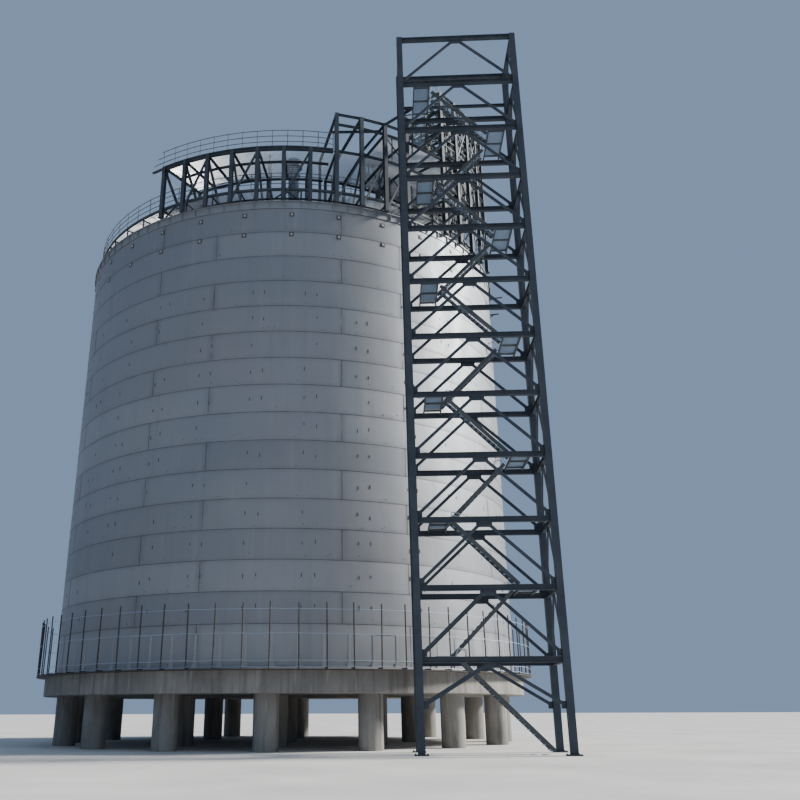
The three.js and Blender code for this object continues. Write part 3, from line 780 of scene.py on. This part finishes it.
def ring_grating(p, inner, outer, z, first, last, panels):
    """Bar grating between two radii, laid in panels whose load bars run inwards."""
    rod_z = z + RING_GRATING_T * 0.3
    for a, b in pairwise(shares(first, last, panels)):
        bars = max(2, int(math.radians(b - a) * (inner + outer) / 2 / RING_GRATING_PITCH))
        for i, angle in enumerate(shares(a, b, bars)):
            wide = 0.006 if 0 < i < bars else 0.02
            p.spoke(angle, (inner, z), (outer, z), flat_outline(wide, RING_GRATING_T), DECK_GRATING)
        rods = max(2, int((outer - inner) / 0.2))
        for r in shares(inner, outer, rods):
            p.chord(r, (a, rod_z), (b, rod_z), flat_outline(0.01, 0.01), DECK_GRATING)


def railing(p, route, height, rails, material=None, posts=True):
    """Rails from point to point of a route, with a post at each point."""
    for a, b in pairwise(route):
        for share in rails:
            p.bar(a + UP * height * share, b + UP * height * share, TUBE, material)
    if posts:
        for a in route:
            p.bar(a, a + UP * height, TUBE, material)


def make_roof_walkway():
    low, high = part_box("roof_walkway")
    inner, outer, rim, top = WALK_INNER_R, high.x, low.z, high.z
    head = top - 0.1
    p = Piece([FRAME_PAINT, DECK_GRATING])
    ring_grating(p, inner + 0.05, outer - 0.05, top - 0.02, 0, 360, WALK_PANELS)
    for r in (inner + 0.04, outer - 0.04):
        p.ring(band(r - 0.04, r + 0.04, head, top), COARSE_STEPS)
    support, brace = angle_outline(0.09), angle_outline(0.07)
    near, far = outer - 0.1, inner + 0.1
    step = 360 / WALK_BAYS
    for k in range(WALK_BAYS):
        angle, following = step * k, step * (k + 1)
        middle = (angle + following) / 2
        p.spoke(angle, (near, rim + 0.05), (near, head), support)
        p.spoke(angle, (far, dome_height(far)), (far, head), support)
        p.spoke(angle, (inner, head), (outer, head), support)
        p.spoke(angle, (near, rim + 0.15), (far, head), brace)
        if k % BRACED_BAY == 0:
            p.chord(near, (angle, rim + 0.05), (middle, head), brace)
            p.chord(near, (middle, head), (following, rim + 0.05), brace)
    # Pipe end that hangs from the walkway, with the brackets under it
    turn = EDGE_PIPE_ANGLE
    p.spoke(turn, (EDGE_PIPE_R, EDGE_PIPE_LOW), (EDGE_PIPE_R, top - 0.05), round_outline(0.11, 12))
    shell = point(13.49, turn, 0)
    for z, reach in EDGE_BRACKETS:
        p.bar(shell + UP * z, shell + point(reach - 0.1, turn, z + 0.03), brace)
        p.bar(shell + UP * (z - 0.18), shell + point(0.25, turn, z - 0.02), angle_outline(0.05))
    p.finish("roof_walkway_bars", ["roof_walkway"])

    low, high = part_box("roof_railing")
    p = Piece([DECK_PAINT])
    rail_h = high.z - top - PIPE_D / 2
    route = [point(high.x - 0.025, angle, top) for angle in shares(0, 360, ROOF_RAIL_BAYS)]
    railing(p, route, rail_h, ROOF_RAILS, posts=False)
    for a in route[:-1]:
        p.bar(a - UP * 0.08, a + UP * rail_h, TUBE)
    p.ring(band(high.x - 0.03, high.x - 0.022, top, top + 0.1), COARSE_STEPS)
    p.finish("roof_railing_pipes", ["roof_railing"], smooth=50)


def rim_post(p, angle, top):
    """H-section post with its base plate and bolts on the rim ring."""
    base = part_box("rim_ring")[1].z
    p.post(POST_R, angle, base + 0.04, top - 0.002, beam_outline(POST_W, POST_W, 0.014, 0.02))
    p.spoke(angle, (POST_R - 0.19, base + 0.02), (POST_R + 0.17, base + 0.02), flat_outline(POST_W, 0.04))
    tangent = point(1, angle + 90, 0)
    for side in (-1, 1):
        for off in (-0.12, 0.11):
            p.bolt(point(POST_R + off, angle, base + 0.04) + tangent * side * 0.11, UP)


def node_plate(p, angle, top):
    """Gusset where a brace meets its post."""
    corner = point(POST_R - POST_W / 2, angle, top - NODE_PLATE / 2)
    p.bar(corner - point(NODE_PLATE / 2, angle, 0), corner + point(0.02, angle, 0),
          flat_outline(0.014, NODE_PLATE))


def braced_post(p, angle, top):
    """Rim post with its gusset and the brace that holds it from the dome."""
    rim_post(p, angle, top)
    p.spoke(angle, (POST_R - 0.1, UPPER_TOP - BEAM_H - 0.1), (BRACE_FOOT_R, dome_height(BRACE_FOOT_R)),
            angle_outline(0.12))
    node_plate(p, angle, UPPER_TOP - THIN_BEAM)


def radial_beam(p, angle, level, outer):
    """Thin beam from the inner ring outwards, its top at the level."""
    z = level - THIN_BEAM / 2
    p.spoke(angle, (INNER_R, z), (outer, z), THIN)


def ring_beam(p, radius, a, b, level):
    """Thin beam from one angle to another, its top at the level."""
    z = level - THIN_BEAM / 2
    p.chord(radius, (a, z), (b, z), THIN)


def crossed(p, radius, a, b, low, high, material):
    """Two braces that cross in one bay."""
    p.chord(radius, (a, low), (b, high), BRACE, material)
    p.chord(radius, (b, low), (a, high), BRACE, material)


def studs(p, radius, a, b, low, high, shares, outline):
    for share in shares:
        p.post(radius, a + (b - a) * share, low, high, outline, STUD)


def ring_deck(name, node, angles, loose=None):
    """Gratings from post to post with edge strips, which go on to a loose end if there is one."""
    p = Piece([DECK_GRATING, DECK_PAINT])
    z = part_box(node)[1].z - 0.025
    inner, outer = INNER_R + 0.16, POST_R - 0.16
    strip = flat_outline(0.012, 0.07)
    for a, b in pairwise(angles):
        ring_grating(p, inner, outer, z, a + 0.1, b - 0.1, 1)
    edges = list(angles)
    if loose is not None:
        edges.insert(0, loose)
        p.spoke(loose, (inner, z), (outer, z), strip, DECK_PAINT)
    for a, b in pairwise(edges):
        for r in (inner, outer):
            p.chord(r, (a, z - 0.005), (b, z - 0.005), strip, DECK_PAINT)
    p.finish(name, [node])


def make_platform():
    angles = [post_angle(i) for i in range(1, LAST_LOW_POST + 1)]
    start = angles[0] - math.degrees(CANTILEVER / POST_R)
    end = post_angle(LAST_LOW_POST + 1) - math.degrees(0.16 / INNER_R)
    p = Piece([FRAME_PAINT])
    for i, angle in enumerate(angles, 1):
        braced_post(p, angle, UPPER_TOP)
        radial_beam(p, angle, UPPER_TOP, POST_R - 0.14)
        if i % 2:
            p.post(INNER_R, angle, dome_height(INNER_R), UPPER_TOP, INNER_POST)
    ends = angles + [end]
    z = UPPER_TOP - BEAM_H / 2
    for a, b in pairwise(ends):
        p.chord(POST_R, (a, z), (b, z), beam_outline(0.2, BEAM_H))
        ring_beam(p, MID_RING_R, a, b, UPPER_TOP)
        ring_beam(p, INNER_R, a, b, UPPER_TOP)
    edge = UPPER_TOP - 0.05
    p.chord(POST_R, (start, edge), (angles[0], edge), RIM_BRACE)
    low_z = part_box("rim_ring")[1].z + 0.1
    for a, b in zip(angles[1::2], angles[2::2]):
        p.chord(POST_R, (a, low_z), (b, UPPER_TOP - BEAM_H), RIM_BRACE)
    p.finish("platform_beams", ["platform_frame"])

    ring_deck("platform_gratings", "platform_deck", [post_angle(i) for i in range(1, LAST_POST + 1)], start)

    p = Piece([DECK_PAINT])
    spaces = round((end - start) / RAIL_POST_STEP)
    route = [point(POST_R, angle, UPPER_TOP) for angle in shares(start, end, spaces)]
    rail_h = PLATFORM_RAIL_H - PIPE_D / 2
    railing(p, route[1:], rail_h, PLATFORM_RAILS)
    for share, first in zip(PLATFORM_RAILS, LOOSE_RAIL_ENDS):
        rail_start = route[0].lerp(route[1], first)
        p.bar(rail_start + UP * rail_h * share, route[1] + UP * rail_h * share, TUBE)
    for a, b in pairwise(route[1:]):
        p.bar(a + UP * 0.05, b + UP * 0.05, flat_outline(0.006, 0.1))
    p.finish("platform_railing_pipes", ["platform_railing"], smooth=50)


def make_high_frame(p, numbers, high):
    """Beams, rails, studs and crossed braces of the frame's high part."""
    levels = [SERVICE_TOP + rise for rise in HIGH_FLOORS] + [high]
    middle = levels[1]
    for i in numbers:
        angle = post_angle(i)
        for level in levels:
            radial_beam(p, angle, level, POST_R - 0.1)
        for low_z, high_z in ((SERVICE_TOP, middle), (middle, high)):
            p.spoke(angle, (POST_R - 0.1, low_z), (INNER_R, high_z - 0.1), BRACE, STUD)
    for i, j in pairwise(numbers):
        a, b = post_angle(i), post_angle(j)
        for radius in (POST_R, INNER_R, MID_RING_R):
            for level in levels:
                ring_beam(p, radius, a, b, level)
            crossed(p, radius, a, b, SERVICE_TOP, middle, STUD)
            crossed(p, radius, a, b, middle, high - 0.1, STUD)
            studs(p, radius - 0.05, a, b, SERVICE_TOP, high - 0.1, THIRDS, SLIM_STUD)
            for rise in HIGH_RAILS:
                z = SERVICE_TOP + rise
                p.chord(radius, (a, z), (b, z), angle_outline(0.06), STUD)


def make_service_frame():
    numbers = [i for i in range(LAST_LOW_POST + 1, LAST_POST + 1) if i != OPEN_BAY_POST]
    decked = [i for i in numbers if i >= FIRST_DECK_POST]
    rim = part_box("rim_ring")[1].z
    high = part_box("service_frame")[1].z
    top = SERVICE_TOP
    bridge_level = level_top(LEVELS - 1)
    walls = ((INNER_R, UPPER_TOP, bridge_level), (MID_RING_R, WALK_Z, UPPER_TOP - 0.1))
    p = Piece([FRAME_PAINT, DECK_PAINT, STUD])
    for i in numbers:
        angle = post_angle(i)
        post_top = high if i >= FIRST_HIGH_POST else top
        braced_post(p, angle, post_top)
        levels = [UPPER_TOP]
        if i in decked:
            levels.append(bridge_level)
            p.post(INNER_R, angle, dome_height(INNER_R), post_top, INNER_POST)
        else:
            p.post(INNER_R, angle, dome_height(INNER_R), UPPER_TOP, INNER_POST)
            p.post(FAR_POST_R, angle, dome_height(FAR_POST_R), top, INNER_POST)
            z = top - THIN_BEAM / 2
            p.spoke(angle, (FAR_POST_R, z), (POST_R - 0.1, z), LIGHT_BEAM)
        if i in (FIRST_DECK_POST, LAST_POST):
            levels.append(top)
        for level in levels:
            radial_beam(p, angle, level, POST_R - 0.14)
    for i, j in pairwise(numbers):
        a, b = post_angle(i), post_angle(j)
        opened = j - i > 1
        for level in (UPPER_TOP, bridge_level, top):
            if level != top or not opened:
                ring_beam(p, POST_R, a, b, level)
            if level == UPPER_TOP or i in decked:
                ring_beam(p, INNER_R, a, b, level)
        p.chord(POST_R, (a, rim + 0.1), (b, UPPER_TOP - THIN_BEAM), RIM_BRACE)
        if i not in decked:
            continue
        # Studs and braces of the walls round the decks
        studs(p, INNER_R, a, b, UPPER_TOP - THIN_BEAM / 2, top - THIN_BEAM / 2, QUARTERS, WIDE_STUD)
        studs(p, MID_RING_R, a, b, WALK_Z, UPPER_TOP - 0.05, QUARTERS, WIDE_STUD)
        for radius, low_z, high_z in walls:
            crossed(p, radius, a, b, low_z, high_z, DECK_PAINT)
            middle = (low_z + high_z) / 2
            p.chord(radius, (a, middle), (b, middle), BRACE, DECK_PAINT)
        if not opened:
            p.chord(POST_R, (b, UPPER_TOP + 0.05), (a, bridge_level - THIN_BEAM), BRACE)
            studs(p, POST_R - 0.05, a, b, UPPER_TOP, bridge_level - 0.1, THIRDS, SLIM_STUD)
    make_high_frame(p, [i for i in numbers if i >= FIRST_HIGH_POST], high)
    # Straight beam across the radial beams of the first two bays
    z = top - THIN_BEAM * 1.5
    p.bar((*CROSS_BEAM[0], z), (*CROSS_BEAM[1], z), THIN)
    # Tie from the first decked post to the stair tower
    tie_start = point(POST_R, post_angle(FIRST_DECK_POST), top - 0.08)
    p.bar(tie_start, (TOWER_X0 + 0.66, TOWER_Y1 + 0.06, EXTRA_BEAM_Z), THIN)
    p.finish("service_frame_beams", ["service_frame"])

    ring_deck("service_gratings", "service_deck", [post_angle(i) for i in decked])


def grating(p, low, high, pitch=0.04, cross=0.15, across=False):
    """Bar grating on a rectangle; the bars run along X, or along Y with across."""
    (x0, y0, z0), (x1, y1, z1) = low, high
    z = (z0 + z1) / 2
    thick = z1 - z0
    first, last, start, stop = (x0, x1, y0, y1) if across else (y0, y1, x0, x1)

    def place(along, aside):
        return Vector((aside, along, z)) if across else Vector((along, aside, z))

    rows = max(2, round((last - first) / pitch))
    for at in shares(first, last, rows):
        p.bar(place(start, at), place(stop, at), flat_outline(0.006, thick), GRATING_PAINTED_SHADE)
    bars = max(2, round((stop - start) / cross))
    for i, at in enumerate(shares(start, stop, bars)):
        wide = 0.008 if 0 < i < bars else 0.014
        p.bar(place(at, first), place(at, last), flat_outline(wide, thick * 0.7), GRATING_PAINTED_SHADE)


def make_bridge():
    low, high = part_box("link_bridge")
    level = level_top(LEVELS - 1)
    y0, y1 = low.y, high.y
    near = TOWER_Y1 + 0.1
    p = Piece([FRAME_PAINT, GRATING_PAINTED_SHADE, ZINC])
    grating(p, (low.x + 0.02, y0, level + 0.005), (high.x - 0.02, y1 - 0.3, level + 0.045), across=True)
    for x in (low.x + 0.05, high.x - 0.05):
        p.bar((x, near, level - 0.15), (x, y1 - 0.02, level - 0.15), channel_outline(0.08, 0.3))
        route = [Vector((x, near + 0.22 + 0.75 * i, level)) for i in range(3)]
        railing(p, route, high.z - level - PIPE_D / 2, (1, 0.5), ZINC)
    p.finish("link_bridge_beams", ["link_bridge"])


# Stair tower
def storeys():
    tops = [level_top(i) for i in range(LEVELS)] + [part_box("tower_front_face")[1].z]
    return list(zip([0.0] + tops, tops))


def chevron(p, a, b, low, high, gusset, outward):
    """Inverted V under a beam, bolted to a plate under the beam and to plates at the legs."""
    along = (b - a).normalized()
    half = gusset / 2
    plate_mid = (a + b) / 2 + UP * (high - TOWER_BEAM_H - GUSSET_H / 2)
    p.bar(plate_mid - along * half, plate_mid + along * half, flat_outline(0.02, GUSSET_H))
    for foot, inward in ((a, along), (b, -along)):
        base = foot + inward * LEG_W / 2 + UP * (low + 0.16)
        start = base + inward * 0.04
        end = plate_mid - inward * half * 0.55 + UP * (GUSSET_H * 0.1)
        p.bar(start, end, flat_outline(BRACE_W * 0.5, BRACE_W))
        corner = base + inward * 0.1
        p.bar(corner - UP * 0.15, corner + UP * 0.15, flat_outline(0.02, 0.22), up=along)
        direction = (end - start).normalized()
        for k in range(3):
            for at in (end - direction * (0.06 + 0.09 * k), start + direction * (0.1 + 0.09 * k)):
                p.bolt(at + outward * BRACE_W * 0.25, outward, 0.028)


def make_tower_face(name, y, braced_top, outward):
    low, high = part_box(name)
    x0, x1 = low.x + FOOT_HALF, high.x - FOOT_HALF
    half = LEG_W / 2
    towards = Vector((0, -1, 0))
    p = Piece([FRAME_PAINT])
    for x in (x0, x1):
        p.bar((x, y, FOOT_T), (x, y, high.z), beam_outline(LEG_W, LEG_W, 0.018, 0.03), up=towards)
        for side in (-1, 1):
            cheek = x + side * (half - 0.012)
            p.bar((cheek, y, FOOT_T), (cheek, y, high.z), flat_outline(0.018, LEG_W - 0.06), up=towards)
        p.bar((x, y, 0), (x, y, FOOT_T), flat_outline(FOOT_HALF * 2, FOOT_HALF * 2), up=towards)
        for i in (-1, 1):
            for j in (-1, 1):
                p.bolt((x + 0.25 * i, y + 0.25 * j, FOOT_T), UP, 0.045)
    for foot, top in storeys():
        z = top - TOWER_BEAM_H / 2
        p.bar((x0 + half - 0.01, y, z), (x1 - half + 0.01, y, z), beam_outline(BEAM_W, TOWER_BEAM_H))
        for x, side in ((x0, 1), (x1, -1)):
            face = x + side * half
            p.bar((face, y, z), (face + side * 0.16, y, z), flat_outline(0.05, TOWER_BEAM_H - 0.06))
            for i in range(3):
                for j in (0.05, 0.12):
                    p.bolt((face + side * j, y + outward.y * 0.025, z - 0.08 + 0.08 * i), outward)
        if braced_top or top != high.z:
            brace_foot = foot or FIRST_BRACE_FOOT
            chevron(p, Vector((x0, y, 0)), Vector((x1, y, 0)), brace_foot, top, FACE_GUSSET, outward)
    if not braced_top:
        p.bar((x0, y, EXTRA_BEAM_Z), (x1, y, EXTRA_BEAM_Z), LIGHT_BEAM)
    p.finish(f"{name}_members", [name])


def make_tower_side(name, x, outward):
    low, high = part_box(name)
    y0, y1 = low.y - LEG_W / 2, high.y + LEG_W / 2
    p = Piece([FRAME_PAINT])
    for i, (foot, top) in enumerate(storeys()):
        z = top - TOWER_BEAM_H / 2
        p.bar((x, low.y, z), (x, high.y, z), beam_outline(BEAM_W, TOWER_BEAM_H))
        for end, side in ((low.y, 1), (high.y, -1)):
            p.bar((x, end, z), (x, end + side * 0.3, z), flat_outline(0.05, TOWER_BEAM_H - 0.06))
        if i:
            chevron(p, Vector((x, y0, 0)), Vector((x, y1, 0)), foot, top, SIDE_GUSSET, outward)
    p.finish(f"{name}_members", [name])


def make_landing(level):
    name = f"landing_{level:02d}"
    low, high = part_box(name)
    top = high.z
    p = Piece([DECK_PAINT, GRATING_PAINTED_SHADE])
    for x, side in ((low.x + 0.03, 1), (high.x - 0.03, -1)):
        p.bar((x, low.y, top - 0.1), (x, high.y, top - 0.1), turned(channel_outline(0.06, 0.12), side))
    for y in LANDING_BEARERS:
        p.bar((low.x, y, top - 0.085), (high.x, y, top - 0.085), flat_outline(0.06, 0.09))
    for a, b in pairwise(LANDING_BEARERS):
        grating(p, (low.x + 0.05, a + 0.03, top - 0.035), (high.x - 0.05, b - 0.03, top), pitch=0.035)
    p.finish(f"{name}_gratings", [name])


def make_flight(level):
    name = f"stair_flight_{level:02d}"
    low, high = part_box(name)
    head_x, direction = (high.x, -1) if level % 2 else (low.x, 1)
    head = high.z
    foot = 0.0 if level == 0 else level_top(level - 1) + 0.05
    risers = round((head - foot) / RISER)
    rise = (head - foot) / risers
    going = direction * (high.x - low.x) / risers
    y0, y1 = low.y + 0.07, high.y - 0.07
    strings = low.y + 0.035, high.y - 0.035
    p = Piece([DECK_PAINT, GRATING_PAINTED_SHADE, ZINC])
    for y, face in zip(strings, (1, -1)):
        slope_start = Vector((head_x + going * 0.6, y, head - STRING_DROP - rise * 0.1))
        slope_end = Vector((head_x + going * risers, y, foot - STRING_DROP + rise * (0.5 if level else 0.9)))
        p.bar(slope_start, slope_end, turned(channel_outline(0.07, STRING_DEPTH), face * direction))
    for i in range(1, risers):
        z = head - rise * i
        a = head_x + going * (i - 0.05)
        b = head_x + going * (i + 1.1)
        low_corner = min(a, b), y0, z - 0.027
        grating(p, low_corner, (max(a, b), y1, z - 0.002), pitch=0.05, cross=0.2, across=True)
        p.bar((b, y0, z - 0.015), (b, y1, z - 0.015), flat_outline(0.025, 0.026))
    # Short hooped handrails at the head of the flight
    for y in strings:
        post = Vector((head_x + direction * 0.05, y, head + 0.02))
        bend = post + Vector((direction * 0.12, 0, 0.34))
        tip = bend + Vector((direction * 0.34, 0, -0.08))
        for start, end in ((post, bend), (bend, tip), (tip, tip - UP * 0.3)):
            p.bar(start, end, TUBE, ZINC)
    p.finish(f"{name}_steps", [name])


def make_fence(rng):
    nodes = [f"base_fence_{side}" for side in FENCE_SIDES]
    low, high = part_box(nodes[0])
    foot, head = low.z, high.z
    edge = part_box("base_fence_right")[1].x
    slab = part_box("foundation")[1].x
    p = Piece([PIPE, GRATING_PAINTED_SHADE])
    p.ring(band(slab + 0.001, edge, foot, foot + 0.05), COARSE_STEPS)
    angles = [angle + rng.uniform(-0.18, 0.18) for angle in turns(FENCE_POSTS, FENCE_POST_ANGLE)]
    for angle in angles:
        top_r = FENCE_R + rng.uniform(-0.03, 0.02)
        top_angle = angle + rng.uniform(-0.12, 0.12)
        top = point(top_r, top_angle, head - rng.uniform(0, 0.1))
        p.bar(point(FENCE_R, angle, foot + 0.02), top, round_outline(FENCE_POST_D))
        p.spoke(angle, (slab, foot + 0.08), (FENCE_R, foot + 0.08), angle_outline(0.07))
    rail_r = FENCE_R + 0.03
    for rise in FENCE_RAILS:
        for a, b in zip(angles, angles[1:] + [angles[0] + 360]):
            z = foot + rise + rng.uniform(-0.02, 0.02)
            sag = (a + b) / 2, z - rng.uniform(0.005, 0.03)
            p.chord(rail_r, (a, z), sag, round_outline(0.02, 6), GRATING_PAINTED_SHADE)
            p.chord(rail_r, sag, (b, z), round_outline(0.02, 6), GRATING_PAINTED_SHADE)
    p.finish("fence_pipes", nodes, smooth=50)


# Stage
def make_camera():
    data = bpy.data.cameras.new("camera")
    data.lens = CAMERA_LENS
    data.sensor_width = CAMERA_SENSOR
    data.shift_x, data.shift_y = CAMERA_SHIFT
    data.clip_end = CAMERA_REACH
    camera = new_object("camera", data)
    place = Matrix.Translation(CAMERA_PLACE)
    for angle, axis in ((CAMERA_HEADING, "Z"), (90 + CAMERA_PITCH, "X"), (CAMERA_ROLL, "Z")):
        place @= Matrix.Rotation(math.radians(angle), 4, axis)
    camera.matrix_world = place
    bpy.context.scene.camera = camera


def sun(name, angle, height, spread, strength, colour):
    data = bpy.data.lights.new(name, "SUN")
    data.energy = strength
    data.angle = math.radians(spread)
    data.color = colour
    lamp = new_object(name, data)
    toward = point(math.cos(math.radians(height)), angle, math.sin(math.radians(height)))
    lamp.rotation_euler = toward.to_track_quat("Z", "Y").to_euler()


def make_stage():
    world = bpy.data.worlds.new("studio")
    bpy.context.scene.world = world
    world.use_nodes = True
    background = world.node_tree.nodes["Background"]
    background.inputs["Color"].default_value = SKY_COLOUR
    background.inputs["Strength"].default_value = SKY_STRENGTH
    for lamp in SUNS:
        sun(*lamp)
    mesh = bpy.data.meshes.new("floor")
    h = FLOOR_HALF
    mesh.from_pydata([(-h, -h, 0), (h, -h, 0), (h, h, 0), (-h, h, 0)], [], [[0, 1, 2, 3]])
    floor = new_object("floor", mesh)
    f = Finish("floor", 0.0)
    mesh.materials.append(f.done(f.mix(f.spread(f.noise(0.2, 4), 0.3, 0.7), *FLOOR_COLOURS), 0.9))


make_camera()
make_stage()
make_foundation()
make_tank_bottom()
shell_random = random.Random(16)
for course in range(1, 17):
    make_course(course, shell_random)
make_rim_ring()
make_dome()
make_vent()
make_roof_walkway()
make_platform()
make_service_frame()
make_bridge()
make_tower_face("tower_front_face", TOWER_Y0, True, Vector((0, -1, 0)))
make_tower_face("tower_rear_face", TOWER_Y1, False, Vector((0, 1, 0)))
make_tower_side("tower_left_side", TOWER_X0, Vector((-1, 0, 0)))
make_tower_side("tower_right_side", TOWER_X1, Vector((1, 0, 0)))
for stair_level in range(LEVELS):
    make_landing(stair_level)
    make_flight(stair_level)
make_fence(random.Random(7))
